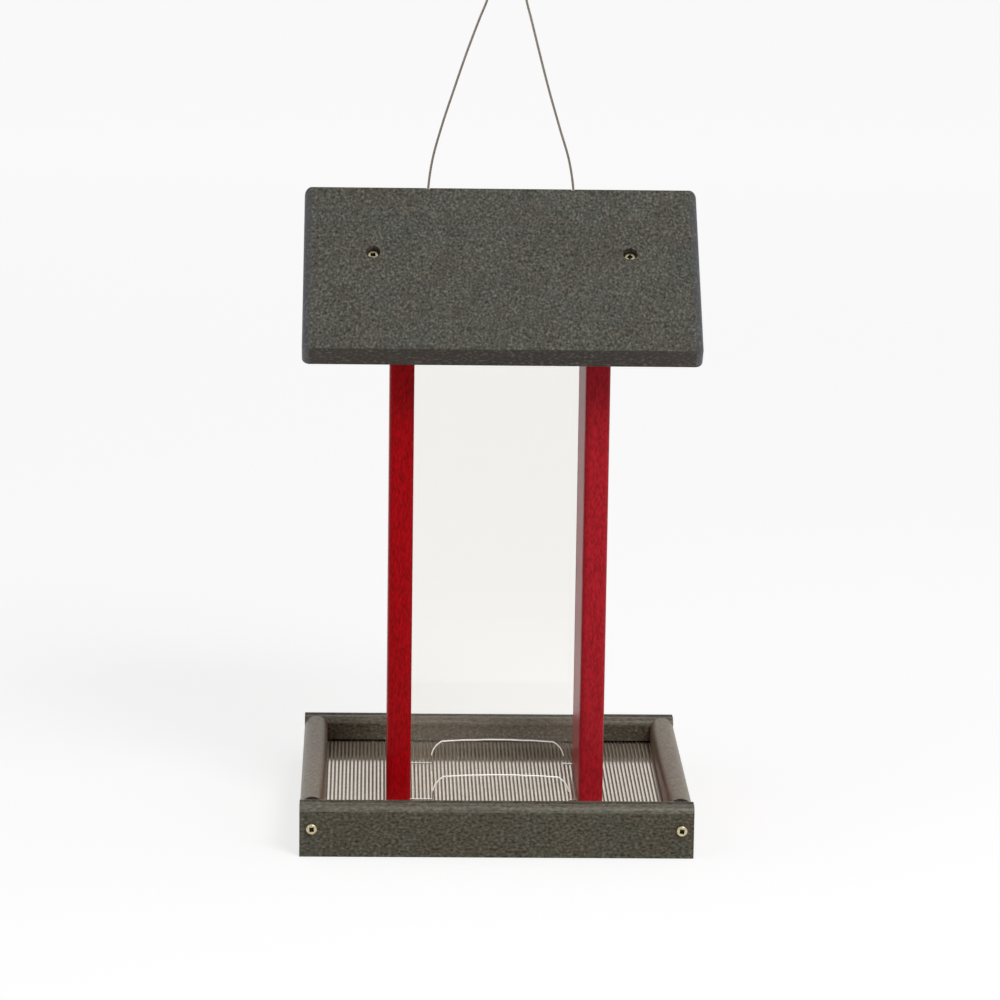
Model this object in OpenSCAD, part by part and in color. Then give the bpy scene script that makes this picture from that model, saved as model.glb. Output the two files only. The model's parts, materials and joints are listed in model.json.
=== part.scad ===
// Hopper bird feeder with a lift-off gable roof, clear sliding panes and a wire cloth floor.
// It hangs from a wire rope bail, or stands on its tray.
// Origin: centre of the tray's footprint. +X to the right, +Y to the back, +Z up. Millimetres.

/* [Boards] */
// Thickness of every plastic lumber board
board_t = 15.9; // [14:0.1:19]
// Radius of the eased edges of the tray and roof boards
edge_r = 4.8; // [2:0.1:6]
// Radius of the small broken edges under the roof
arris_r = 1.6; // [0.5:0.1:2]

/* [Tray] */
// Length of the tray, left to right
tray_l = 254; // [230:1:320]
// Depth of the tray, front to back
tray_d = 228.6; // [200:0.1:280]
// Height of the front and back boards
tray_h = 34.9; // [30:0.1:50]
// How far the round side rails stand above the front board
rail_rise = 0.8; // [0:0.1:3]

/* [Screen floor] */
// Height of the screen's underside above the table
screen_z = 15.9; // [13:0.1:18]
// Thickness of the wire cloth, two wires deep
screen_t = 2.4; // [1.8:0.1:2.6]
// Distance from one wire to the next that is drawn
screen_pitch = 7.62; // [7:0.01:12]
// Width of a wire as drawn
screen_wire = 2.4; // [1.8:0.1:3]
// How much wider the saw kerf is than the screen
kerf_slack = 0.8; // [0.4:0.1:2]
// Depth of the saw kerf that holds the screen
kerf_d = 5; // [3:0.1:5.5]
// Gap from the screen's edge to the bottom of its kerf
screen_play = 0.5; // [0.2:0.1:1]

/* [Hopper] */
// Distance over the outer faces of the two end boards
hopper_l = 142.2; // [136:0.1:150]
// Depth of an end board, front to back
end_d = 101.6; // [90:0.1:120]
// Height of an end board from the screen to its peak
end_h = 378; // [370:0.1:400]
// Radius of the end boards' upright edges
end_edge_r = 4; // [2:0.1:5]

/* [Panes] */
// Thickness of a clear pane
pane_t = 2.4; // [1.5:0.1:3]
// Distance from the end board's edge to the middle of the pane
pane_inset = 7.5; // [6:0.1:12]
// Depth of the grooves in the end boards
groove_d = 5; // [3:0.1:7]
// Gap on each face of a pane in its groove
pane_play = 0.4; // [0.2:0.1:0.6]
// Gap from a pane's edge to the bottom of its groove
pane_side_play = 0.5; // [0.3:0.1:1]
// How far a pane can rise before it meets the closed roof
pane_headroom = 11.5; // [11:0.1:20]
// Width of the seed opening at the foot of a pane
arch_w = 89; // [70:0.5:92]
// Height of the seed opening
arch_h = 16.1; // [14:0.1:30]
// How far the seed opening lies to the right of the pane's middle
arch_shift = 4.3; // [-6:0.1:6]
// Radius of the seed opening's corners
arch_r = 12.7; // [5:0.1:14]
// Radius of the seed opening's slightly crowned top
arch_crown_r = 500; // [400:10:1200]

/* [Roof] */
// Length of the roof, left to right
roof_l = 254; // [220:1:320]
// Length of a roof panel down its slope
roof_slope = 135; // [125:0.5:170]
// Slope of the roof in degrees
roof_angle = 40; // [34:0.5:46]
// Gap under the closed roof
roof_gap = 0.3; // [0.2:0.1:0.6]
// Height of the gable cleats from their peak to their flat foot
cleat_h = 51.6; // [48:0.1:60]
// Gap between a gable cleat and the end board beside it
cleat_gap = 3.4; // [0.5:0.1:5]

/* [Screws] */
// Shank diameter of the tray's corner screws
corner_screw_d = 3.5; // [3:0.1:4]
// Length of the corner screws under the head
corner_screw_l = 38; // [30:1:50]
// Head diameter of the corner screws
corner_head_d = 7.2; // [6:0.1:8]
// Height of the corner screws above the table
corner_screw_z = 19; // [14:0.1:24]
// Shank diameter of the roof and floor screws
long_screw_d = 4.2; // [3.5:0.1:4.8]
// Length of the roof and floor screws under the head
long_screw_l = 32; // [26:1:34]
// Head diameter of the roof and floor screws
long_head_d = 8.2; // [7:0.1:9]
// Height of a screw head
head_h = 2.8; // [2:0.1:3.4]
// Width of the square drive recess
drive_w = 3; // [2:0.1:3.4]
// Gap round a screw's shank
screw_play = 0.1; // [0.05:0.05:0.3]
// Diameter of the sunk seats of the roof screws
sunk_d = 9.5; // [9.2:0.1:12]
// Depth of the sunk seats of the roof screws
sunk_depth = 6; // [4:0.1:9]
// Distance of the roof screws from the ridge, down the slope
roof_screw_s = 54.5; // [50:0.5:60]
// Distance between the two floor screws of an end board
floor_screw_span = 60; // [40:1:76]
// Diameter of the washers under the screen
washer_d = 12.7; // [10:0.1:14]
// Thickness of the washers under the screen
washer_t = 1.2; // [0.8:0.1:2]

/* [Cable] */
// Diameter of the wire rope
cable_d = 1.6; // [1.2:0.1:2]
// Diameter of the roof's cable holes
roof_hole_d = 3.4; // [3:0.1:8]
// Gap round the wire rope where it goes through an end board
board_hole_play = 0.4; // [0.2:0.1:1]
// Diameter of the crimped stops
stop_d = 4.4; // [3.6:0.1:6]
// Length of the crimped stops
stop_l = 6.4; // [5:0.1:8]
// Gap between a crimped stop and its end board
stop_gap = 0.3; // [0:0.1:0.5]
// Gap between the wire rope and the bore of its stops
stop_play = 0.05; // [0.02:0.01:0.1]

/* [Hidden] */
$fn = 48;
over = 1; // how far a cutting solid runs past a face

// The wire rope's route in the plane y = 0 as [x, z]: out of the left stop, through the end
// board, up through the roof, over the bail's top and down the same way on the right
cable_route = [
    [-79, 330], [-67, 330], [-55, 330], [-49.3, 332.3], [-47, 338], [-47, 365], [-47, 392],
    [-47, 418], [-44.8, 434.5], [-38.7, 458], [-31.2, 481.5], [-23.4, 505], [-15, 528],
    [-10.3, 540], [-7.2, 552], [-5.4, 563], [-1.7, 570], [3, 572.2], [7.7, 570], [11.3, 563.5],
    [13, 552], [14.8, 540], [18, 528], [24, 505], [30.4, 481.5], [37.4, 458], [44.4, 434.5],
    [47, 418], [47, 392], [47, 365], [47, 338], [49.3, 332.3], [55, 330], [67, 330], [79, 330]
];
anchor_z = cable_route[0][1];   // height of the holes in the end boards
roof_hole_x = cable_route[len(cable_route) - 7][0]; // the cable's place under the roof

// Room inside the tray, as half lengths
tray_in_x = tray_l / 2 - board_t;
tray_in_y = tray_d / 2 - board_t;
// The screen and the kerf that takes it
screen_x = tray_in_x + kerf_d - screen_play;
screen_y = tray_in_y + kerf_d - screen_play;
kerf_w = screen_t + kerf_slack;
floor_z = screen_z + screen_t;
// End boards
end_x = (hopper_l - board_t) / 2;
end_in_x = hopper_l / 2 - board_t;
peak_z = floor_z + end_h;
// Middle of the side rails, and of the corner screws that hold them
rail_x = (tray_l - board_t) / 2;
// Panes
pane_y = end_d / 2 - pane_inset;
pane_w = 2 * (end_in_x + groove_d - pane_side_play);
pane_z = floor_z + roof_gap;
groove_w = pane_t + 2 * pane_play;
pane_h = roof_under(pane_y + pane_t / 2) - pane_headroom - pane_z;
// Roof
ridge_z = peak_z + roof_gap + board_t / cos(roof_angle);
cleat_x = hopper_l / 2 + cleat_gap + board_t / 2;
cleat_peak = roof_under(0);

// Height of the roof's underside at a distance y from the ridge
function roof_under(y) = peak_z + roof_gap - abs(y) * tan(roof_angle);

// ---- shared forms ----

// The waste outside a round corner of radius r, whose centre is the origin
module corner_waste(r) {
    difference() {
        square(r + over);
        circle(r);
    }
}

// Board section standing on the X axis, with round corners at its top and its foot
module board_section(w, h, top_r, foot_r) {
    difference() {
        translate([-w / 2, 0]) square([w, h]);
        for (side = [0, 1]) mirror([side, 0]) {
            translate([w / 2 - top_r, h - top_r]) corner_waste(top_r);
            if (foot_r > 0) translate([w / 2 - foot_r, foot_r]) mirror([0, 1]) corner_waste(foot_r);
        }
    }
}

// Extrudes a section along X (its own x becomes Y) or along Y
module along_x(l) { rotate([90, 0, 90]) linear_extrude(l, center = true) children(); }
module along_y(l) { rotate([90, 0, 0]) linear_extrude(l, center = true) children(); }

// Copies to the front (side -1) or the back (side 1) of the feeder
module facing(side) {
    if (side > 0) children();
    else mirror([0, 1, 0]) children();
}

// Puts +Y down a roof slope and +Z square to it, with the origin on the ridge
module on_slope(side) {
    facing(side) translate([0, 0, ridge_z]) rotate([-roof_angle, 0, 0]) children();
}

// Pan head screw with a square drive; its head seats at z = 0 and it points down
module pan_screw(d, l, head_d) {
    head_r = head_h * 0.6;
    recess_z = head_h * 0.35;
    tip = 1.5 * d;
    root = 0.1; // how far the shank runs up into the head
    difference() {
        union() {
            rotate_extrude() difference() {
                square([head_d / 2, head_h]);
                translate([head_d / 2 - head_r, head_h - head_r]) corner_waste(head_r);
            }
            rotate_extrude() polygon([[0, root], [d / 2, root], [d / 2, tip - l], [0, -l]]);
        }
        translate([-drive_w / 2, -drive_w / 2, recess_z]) cube([drive_w, drive_w, head_h]);
    }
}

// Hole for such a screw, from its head's seat to past its tip
module screw_hole(d, l) {
    translate([0, 0, -l - over]) cylinder(h = l + 2 * over, r = d / 2 + screw_play);
}

// ---- where the fasteners sit ----

module at_corners(side) {
    for (x = [-rail_x, rail_x])
        translate([x, side * tray_d / 2, corner_screw_z]) rotate([-90 * side, 0, 0]) children();
}

module at_roof_screws(side) {
    on_slope(side) for (x = [-cleat_x, cleat_x])
        translate([x, roof_screw_s, -sunk_depth]) children();
}

module at_floor_screws(x) {
    for (y = [-floor_screw_span / 2, floor_screw_span / 2])
        translate([x, y, screen_z]) rotate([180, 0, 0]) children();
}

// ---- tray ----

// One block as wide as the kerfs of all four boards
module kerf_block() {
    translate([0, 0, screen_z + kerf_w / 2])
        cube([2 * (tray_in_x + kerf_d), 2 * (tray_in_y + kerf_d), kerf_w], center = true);
}

module tray_board(side) {
    color("#4f4a41") difference() {
        translate([0, side * (tray_d - board_t) / 2, 0])
            along_x(tray_l) board_section(board_t, tray_h, edge_r, 0);
        kerf_block();
        at_corners(side) screw_hole(corner_screw_d, corner_screw_l);
    }
}

module front_board() { tray_board(-1); }
module back_board() { tray_board(1); }

// Side rail with a full round top
module rail(side) {
    round_z = tray_h + rail_rise - board_t / 2;
    color("#8c847a") difference() {
        translate([side * rail_x, 0, 0]) along_y(2 * tray_in_y) union() {
            translate([-board_t / 2, 0]) square([board_t, round_z]);
            translate([0, round_z]) circle(d = board_t);
        }
        kerf_block();
        for (end = [-1, 1]) at_corners(end) screw_hole(corner_screw_d, corner_screw_l);
    }
}

module left_rail() { rail(-1); }
module right_rail() { rail(1); }

// Square mesh of crossing wires, cleared round the screws that go up through it
module floor_screen() {
    columns = floor((2 * screen_x - screen_wire) / screen_pitch);
    rows = floor((2 * screen_y - screen_wire) / screen_pitch);
    color("#c4c0b8") translate([0, 0, screen_z]) linear_extrude(screen_t) difference() {
        square([2 * screen_x, 2 * screen_y], center = true);
        for (i = [0:columns - 1], j = [0:rows - 1])
            translate([(i - (columns - 1) / 2) * screen_pitch, (j - (rows - 1) / 2) * screen_pitch])
                square(screen_pitch - screen_wire, center = true);
        for (x = [-end_x, end_x], y = [-1, 1])
            translate([x, y * floor_screw_span / 2]) circle(d = long_screw_d + 2 * screw_play);
    }
}

// ---- hopper ----

// Pentagon of an end board, as y and z
module gable() {
    shoulder = peak_z - end_d / 2 * tan(roof_angle);
    polygon([[-end_d / 2, floor_z], [end_d / 2, floor_z], [end_d / 2, shoulder],
             [0, peak_z], [-end_d / 2, shoulder]]);
}

module end_board(side) {
    color("#870a10") difference() {
        intersection() {
            translate([side * end_x, 0, 0]) along_x(board_t) gable();
            translate([side * end_x, 0, 0]) linear_extrude(peak_z + over)
                translate([0, -end_d / 2]) board_section(board_t, end_d, end_edge_r, end_edge_r);
        }
        for (y = [-pane_y, pane_y])
            translate([side * (end_in_x + groove_d / 2 - over / 2), y, (floor_z + peak_z) / 2])
                cube([groove_d + over, groove_w, end_h + 2 * over], center = true);
        translate([side * end_x, 0, anchor_z]) rotate([0, 90, 0])
            cylinder(h = board_t + 2 * over, d = cable_d + 2 * board_hole_play, center = true);
        at_floor_screws(side * end_x) screw_hole(long_screw_d, long_screw_l);
    }
}

module left_end_board() { end_board(-1); }
module right_end_board() { end_board(1); }

// Opening at a pane's foot: round corners and a slightly crowned top
module seed_arch() {
    translate([arch_shift, 0]) intersection() {
        translate([0, -over]) board_section(arch_w, arch_h + over, arch_r, 0);
        translate([0, arch_h - arch_crown_r]) circle(arch_crown_r, $fn = 360);
    }
}

module pane(side) {
    color("#dfe6e4", 0.35) translate([0, side * pane_y, pane_z]) along_y(pane_t) difference() {
        translate([-pane_w / 2, 0]) square([pane_w, pane_h]);
        seed_arch();
    }
}

module front_pane() { pane(-1); }
module rear_pane() { pane(1); }

// ---- roof ----

module roof_panel(side) {
    color("#54524c") difference() {
        on_slope(side) translate([0, roof_slope / 2, -board_t])
            along_y(roof_slope) board_section(roof_l, board_t, edge_r, arris_r);
        // upright mitre at the ridge
        facing(side) translate([-roof_l / 2 - over, -2 * board_t, ridge_z - 3 * board_t])
            cube([roof_l + 2 * over, 2 * board_t, 4 * board_t]);
        for (x = [-roof_hole_x, roof_hole_x]) translate([x, 0, ridge_z - 3 * board_t])
            cylinder(h = 4 * board_t, d = roof_hole_d);
        at_roof_screws(side) {
            cylinder(h = sunk_depth + over, d = sunk_d);
            screw_hole(long_screw_d, long_screw_l);
        }
    }
}

module roof_front_panel() { roof_panel(-1); }
module roof_rear_panel() { roof_panel(1); }

// Wedge under both panels, outside an end board, that the panels are screwed to
module roof_cleat(side) {
    half_w = cleat_h / tan(roof_angle);
    color("#54524c") difference() {
        translate([side * cleat_x, 0, 0]) along_x(board_t)
            polygon([[-half_w, cleat_peak - cleat_h], [half_w, cleat_peak - cleat_h], [0, cleat_peak]]);
        for (face = [-1, 1]) at_roof_screws(face) screw_hole(long_screw_d, long_screw_l);
    }
}

module left_roof_cleat() { roof_cleat(-1); }
module right_roof_cleat() { roof_cleat(1); }

// ---- fasteners ----

module corner_screws(side) {
    color("#b5ad9d") at_corners(side) pan_screw(corner_screw_d, corner_screw_l, corner_head_d);
}

module front_corner_screws() { corner_screws(-1); }
module back_corner_screws() { corner_screws(1); }

module roof_screws(side) {
    color("#b5ad9d") at_roof_screws(side) pan_screw(long_screw_d, long_screw_l, long_head_d);
}

module roof_front_screws() { roof_screws(-1); }
module roof_rear_screws() { roof_screws(1); }

module end_board_screws() {
    color("#b5ad9d") for (x = [-end_x, end_x]) at_floor_screws(x)
        translate([0, 0, washer_t]) pan_screw(long_screw_d, long_screw_l, long_head_d);
}

module end_board_washers() {
    color("#c0bcb2") for (x = [-end_x, end_x]) at_floor_screws(x) difference() {
        cylinder(h = washer_t, d = washer_d);
        translate([0, 0, -over]) cylinder(h = washer_t + 2 * over, d = long_screw_d + 4 * screw_play);
    }
}

// ---- hanging cable ----

function unit(v) = v / norm(v);

// Direction of the route at its point i: the nearer neighbour counts more
function heading(i) =
    i == 0 ? unit(cable_route[1] - cable_route[0]) :
    i == len(cable_route) - 1 ? unit(cable_route[i] - cable_route[i - 1]) :
    let (a = cable_route[i] - cable_route[i - 1], b = cable_route[i + 1] - cable_route[i])
    unit(unit(a) * norm(b) + unit(b) * norm(a));

// Point and direction at a share t of the stretch from point i to the next
function on_route(i, t) =
    let (p = cable_route[i], q = cable_route[i + 1], l = norm(q - p), u = heading(i) * l,
         v = heading(i + 1) * l)
    [(2 * t ^ 3 - 3 * t ^ 2 + 1) * p + (t ^ 3 - 2 * t ^ 2 + t) * u
         + (3 * t ^ 2 - 2 * t ^ 3) * q + (t ^ 3 - t ^ 2) * v,
     unit((6 * t ^ 2 - 6 * t) * (p - q) + (3 * t ^ 2 - 4 * t + 1) * u + (3 * t ^ 2 - 2 * t) * v)];

// Swept tube of eight sides
module hanging_cable() {
    sides = 8;
    last = len(cable_route) - 2;
    stations = concat([for (i = [0:last], t = [0, 0.5]) on_route(i, t)], [on_route(last, 1)]);
    rings = len(stations);
    points = [for (s = stations, k = [0:sides - 1])
        let (out = cos(360 * k / sides) * cable_d / 2, across = sin(360 * k / sides) * cable_d / 2)
        [s[0][0] - s[1][1] * out, across, s[0][1] + s[1][0] * out]];
    walls = [for (r = [0:rings - 2], k = [0:sides - 1])
        let (n = (k + 1) % sides, a = r * sides, b = a + sides) [a + k, a + n, b + n, b + k]];
    ends = [[for (k = [sides - 1:-1:0]) k], [for (k = [0:sides - 1]) (rings - 1) * sides + k]];
    color("#7d7d7b") polyhedron(points, concat(walls, ends), convexity = 4);
}

module cable_stop(side) {
    edge = 0.8;
    color("#a8a8a6") translate([side * (hopper_l / 2 + stop_gap), 0, anchor_z]) rotate([0, 90 * side, 0])
        difference() {
            rotate_extrude() translate([0, stop_l / 2]) intersection() {
                translate([0, -stop_l / 2]) board_section(stop_d, stop_l, edge, edge);
                translate([0, -stop_l / 2]) square([stop_d, stop_l]);
            }
            translate([0, 0, -over]) cylinder(h = stop_l + 2 * over, d = cable_d + 2 * stop_play);
        }
}

module left_cable_stop() { cable_stop(-1); }
module right_cable_stop() { cable_stop(1); }

front_board();
back_board();
left_rail();
right_rail();
floor_screen();
left_end_board();
right_end_board();
front_pane();
rear_pane();
roof_front_panel();
roof_rear_panel();
left_roof_cleat();
right_roof_cleat();
front_corner_screws();
back_corner_screws();
roof_front_screws();
roof_rear_screws();
end_board_screws();
end_board_washers();
hanging_cable();
left_cable_stop();
right_cable_stop();
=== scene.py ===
"""Hanging hopper bird feeder, dressed round its packed construction.

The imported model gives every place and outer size. This file gives the finish: milled and
eased plastic lumber, clear acrylic panes with routed seed openings, bright wire cloth, screws
with square drives and a stranded wire rope bail.
"""

import json
import math

import bmesh
import bpy
from mathutils import Matrix, Vector


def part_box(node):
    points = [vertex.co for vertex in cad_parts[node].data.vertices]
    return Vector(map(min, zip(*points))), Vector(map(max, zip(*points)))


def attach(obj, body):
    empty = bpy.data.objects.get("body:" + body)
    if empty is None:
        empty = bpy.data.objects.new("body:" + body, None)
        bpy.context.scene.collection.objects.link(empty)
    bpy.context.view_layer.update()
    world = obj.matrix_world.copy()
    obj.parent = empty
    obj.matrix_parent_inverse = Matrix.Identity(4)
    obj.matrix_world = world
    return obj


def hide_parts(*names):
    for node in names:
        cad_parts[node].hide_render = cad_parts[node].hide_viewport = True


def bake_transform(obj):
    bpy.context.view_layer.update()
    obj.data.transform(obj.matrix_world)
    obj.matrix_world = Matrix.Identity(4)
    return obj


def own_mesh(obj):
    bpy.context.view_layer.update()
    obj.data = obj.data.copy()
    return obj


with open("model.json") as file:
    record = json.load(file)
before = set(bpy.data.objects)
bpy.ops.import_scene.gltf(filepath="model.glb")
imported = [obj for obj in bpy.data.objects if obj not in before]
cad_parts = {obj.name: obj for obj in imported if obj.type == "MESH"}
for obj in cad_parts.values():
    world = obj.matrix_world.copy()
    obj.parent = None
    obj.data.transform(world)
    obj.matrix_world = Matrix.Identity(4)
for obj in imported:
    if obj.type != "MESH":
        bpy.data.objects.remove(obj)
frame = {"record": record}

bl_info = {
    "name": "Hanging hopper bird feeder",
    "version": (1, 0, 0),
    "blender": (4, 5, 0),
    "location": "View3D > Sidebar > Feeder",
    "description": "Builds the finished pieces of a hanging hopper bird feeder",
    "category": "Add Mesh",
}

MM = 0.001
NEAR = 1e-5      # metres; closer than this counts as the same place
BODY_OF = {n: b for b, ns in frame["record"]["behaviour"]["bodies"].items() for n in ns}

# Outer sizes that the pieces share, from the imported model
TRAY_LOW, TRAY_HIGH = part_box("front_board")
BOARD = TRAY_HIGH.y - TRAY_LOW.y
SCREEN_LOW, SCREEN_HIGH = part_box("floor_screen")
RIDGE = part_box("roof_front_panel")[1].z
SLOPE = math.radians(40)
PANEL_LENGTH = -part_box("roof_front_panel")[0].y / math.cos(SLOPE)


def mm(name, size, what):
    """A length property, given in millimetres."""
    return bpy.props.FloatProperty(
        name=name, description=what, default=size * MM, min=0.0, unit="LENGTH", precision=5
    )


def linear(text):
    """Linear colour of an sRGB hex value such as "#54524c"."""
    parts = [int(text[i:i + 2], 16) / 255 for i in (1, 3, 5)]
    return tuple(c / 12.92 if c <= 0.04045 else ((c + 0.055) / 1.055) ** 2.4 for c in parts)


def colour(name, text, what):
    """A colour property, given as an sRGB hex value."""
    return bpy.props.FloatVectorProperty(
        name=name, description=what, default=linear(text), size=3, min=0.0, max=1.0, subtype="COLOR"
    )


# ---------------------------------------------------------------- sizes and colours


class BoardSettings(bpy.types.PropertyGroup):
    edge_radius: mm("Edge radius", 4.8, "Routed radius of the tray's long edges")
    rake_radius: mm("Rake radius", 4.8, "Routed radius of the roof's gable edges")
    under_radius: mm("Under radius", 1.6, "Radius of the lower edges of the roof's gable ends")
    gable_radius: mm("Upright radius", 4.0, "Routed radius of the end boards' upright edges")
    arris: mm("Arris", 0.35, "Broken edge left by sanding where boards were sawn")
    kerf: mm("Kerf", 3.2, "Width of the saw kerf that holds the screen")
    kerf_depth: mm("Kerf depth", 5.0, "Depth of the saw kerf in the tray boards")
    groove: mm("Groove", 3.2, "Width of the grooves for the panes")
    groove_depth: mm("Groove depth", 5.0, "Depth of the grooves for the panes")


class PaneSettings(bpy.types.PropertyGroup):
    arch_width: mm("Opening width", 89.0, "Width of the seed opening")
    arch_height: mm("Opening height", 16.1, "Height of the seed opening")
    arch_shift: mm("Opening shift", 4.3, "How far the opening lies to the right of the middle")
    arch_radius: mm("Corner radius", 12.7, "Radius of the opening's corners")
    crown_radius: mm("Crown radius", 500.0, "Radius of the opening's crowned top")
    chamfer: mm("Chamfer", 0.65, "Chamfer scraped along the routed edge")


class ScreenSettings(bpy.types.PropertyGroup):
    pitch: mm("Pitch", 2.54, "Distance from wire to wire, ten to the inch")
    wire: mm("Wire", 1.4, "Width of a long wire, flattened on top where the cloth was rolled")
    cross_wire: mm("Cross wire", 1.1, "Diameter of the wires that cross under them")


class RoofSettings(bpy.types.PropertyGroup):
    hole_spacing: mm("Cable holes", 94.0, "Distance between the two cable holes in the ridge")
    hole_diameter: mm("Cable hole", 2.4, "Diameter of a cable hole")
    seat_diameter: mm("Screw seat", 9.5, "Diameter of the sunk screw seats")
    seat_depth: mm("Seat depth", 6.0, "Depth of the sunk screw seats")
    seat_place: mm("Seat place", 54.5, "Distance of the seats from the ridge, down the slope")


class ScrewSettings(bpy.types.PropertyGroup):
    small_head: mm("Small head", 7.2, "Head diameter of the corner screws")
    small_shank: mm("Small shank", 3.5, "Thread diameter of the corner screws")
    small_length: mm("Small length", 38.0, "Length of the corner screws under the head")
    large_head: mm("Large head", 8.2, "Head diameter of the roof and floor screws")
    large_shank: mm("Large shank", 4.2, "Thread diameter of the roof and floor screws")
    large_length: mm("Large length", 32.0, "Length of the roof and floor screws under the head")
    head_height: mm("Head height", 2.8, "Height of a pan head")
    drive: mm("Drive", 3.0, "Width of the square recess")
    thread: mm("Thread pitch", 1.8, "Rise of the thread in one turn")


class RopeSettings(bpy.types.PropertyGroup):
    diameter: mm("Diameter", 1.6, "Diameter of the wire rope")
    lay: mm("Lay", 10.5, "Length in which a strand goes once round the rope")


class FinishSettings(bpy.types.PropertyGroup):
    charcoal: colour("Charcoal", "#56544d", "Body of the roof's dark lumber")
    charcoal_warm: colour("Warm charcoal", "#5e594e", "Body of the tray's dark lumber")
    # Darker and bluer than the roof's body: painted shade and a painted cool reflection on the
    # routed gables
    charcoal_rake_painted_shade: colour("Rake charcoal", "#4a4a4e", "Dark lumber where a router cut the gables")
    # Lighter than the tray's body: a painted highlight on the routed rounds
    charcoal_routed_highlight: colour("Routed charcoal", "#676152", "Dark lumber where a router has cut it")
    # Darker than the other charcoals: partly the saw's cut, partly painted shade on the eaves and
    # rail ends
    charcoal_sawn_shaded: colour("Sawn charcoal", "#47403b", "Dark lumber where a saw has cut it")
    charcoal_light: colour("Light flecks", "#8b887c", "Pale flecks in the dark lumber")
    charcoal_dark: colour("Dark flecks", "#2b2924", "Dark flecks in the dark lumber")
    # Paler than the tray boards' body: a painted highlight on the round tops, added to their real
    # sheen
    rail: colour("Rail grey", "#74664f", "Side rails, polished by the cutter")
    red: colour("Red", "#c0040f", "Body of the left end board")
    red_dark: colour("Dark red", "#74010a", "Dark flecks in the left end board")
    # The right board's two reds are lighter copies of the left's: painted light and sheen on that
    # board
    red_painted_light: colour("Paler red", "#c6222e", "Body of the right end board, a paler batch")
    red_dark_painted_light: colour("Paler dark red", "#80141d", "Dark flecks in the right end board")
    acrylic: colour("Acrylic", "#fffefc", "Tint of the clear panes")
    film: colour("Film", "#f3e6d9", "Warm dust on the panes, which tints what they mirror")
    sawn: colour("Routed acrylic", "#efebe4", "Frosted edge that the router leaves on acrylic")
    wire: colour("Screen wire", "#efe5d8", "Bright wires of the screen")
    # Darker than the long wires: painted shade between and under them
    cross_wire: colour("Cross wire", "#a2998b", "Duller wires that cross under them")
    steel: colour("Screw steel", "#d4c7a3", "Warm stainless steel of the screws")
    # Painted shade: the recess's floor and walls are coloured dark
    recess: colour("Recess", "#2a2015", "Dark bottom of the square drive recess")
    rope: colour("Wire rope", "#aba395", "Galvanised wire rope")
    crimp: colour("Crimp", "#b4b4b0", "Aluminium of the crimped stops")
    floor: colour("Floor", "#b4b4b4", "What the pale floor throws back as light on the feeder")


GROUPS = {
    "feeder_boards": BoardSettings,
    "feeder_panes": PaneSettings,
    "feeder_screen": ScreenSettings,
    "feeder_roof": RoofSettings,
    "feeder_screws": ScrewSettings,
    "feeder_rope": RopeSettings,
    "feeder_finish": FinishSettings,
}

# ---------------------------------------------------------------- modelling by hand


def clear_selection():
    bpy.ops.object.select_all(action="DESELECT")


def select_only(obj):
    clear_selection()
    obj.select_set(True)
    bpy.context.view_layer.objects.active = obj


def middle_of(node):
    low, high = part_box(node)
    return (low + high) / 2


def settle(name):
    """Names the new primitive and bakes its place into its mesh: its origin is the frame's."""
    obj = bpy.context.object
    obj.name = name
    select_only(obj)
    bpy.ops.object.transform_apply(location=True, rotation=True, scale=True)
    return obj


def block(name, low, high):
    """A sawn block between two corners."""
    low, high = Vector(low), Vector(high)
    clear_selection()
    bpy.ops.mesh.primitive_cube_add(size=1, location=(low + high) / 2, scale=high - low)
    return settle(name)


def rod(name, radius, length, sides=32, start=(0, 0, 0), along=(0, 0, 1)):
    """A round bar of that length from start, in the direction along."""
    clear_selection()
    turn = Vector(along).to_track_quat("Z", "Y").to_euler()
    middle = Vector(start) + Vector(along).normalized() * length / 2
    bpy.ops.mesh.primitive_cylinder_add(
        vertices=sides, radius=radius, depth=length, location=middle, rotation=turn
    )
    return settle(name)


def open_with(obj, pick, kind="EDGE"):
    """Opens the object in edit mode with only the edges or faces selected that pick names."""
    select_only(obj)
    bpy.ops.object.mode_set(mode="EDIT")
    bpy.ops.mesh.select_mode(type=kind)
    bpy.ops.mesh.select_all(action="DESELECT")
    form = bmesh.from_edit_mesh(obj.data)
    for part in form.edges if kind == "EDGE" else form.faces:
        if pick([v.co for v in part.verts]):
            part.select_set(True)
    bmesh.update_edit_mesh(obj.data)


def close():
    bpy.ops.object.mode_set(mode="OBJECT")


def cut_edges(obj, pick, cuts):
    """Cuts that many times across the edges that pick names."""
    open_with(obj, pick)
    bpy.ops.mesh.subdivide(number_cuts=cuts)
    close()


def round_edges(obj, pick, radius, segments, material=-1):
    """Routes a radius along the edges that pick names; the cut may take a material of its own."""
    open_with(obj, pick)
    bpy.ops.mesh.bevel(
        offset=radius, segments=segments, affect="EDGES", clamp_overlap=True, material=material)
    close()


def break_edges(obj, width, segments=2, angle=50):
    """Breaks every edge that is still sharp."""
    open_with(obj, lambda points: False)
    bpy.ops.mesh.edges_select_sharp(sharpness=math.radians(angle))
    bpy.ops.mesh.bevel(offset=width, segments=segments, affect="EDGES", clamp_overlap=True)
    close()


def saw_off(obj, point, normal):
    """Saws the object through at a plane and drops the side that normal points to."""
    open_with(obj, lambda points: True, "FACE")
    bpy.ops.mesh.bisect(plane_co=point, plane_no=normal, use_fill=True, clear_outer=True)
    close()


def saw_gable(obj, peak):
    """Saws both slopes of the roof onto the top of the object."""
    for way in (-1, 1):
        saw_off(obj, (0, 0, peak), (0, way * math.sin(SLOPE), math.cos(SLOPE)))


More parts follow.
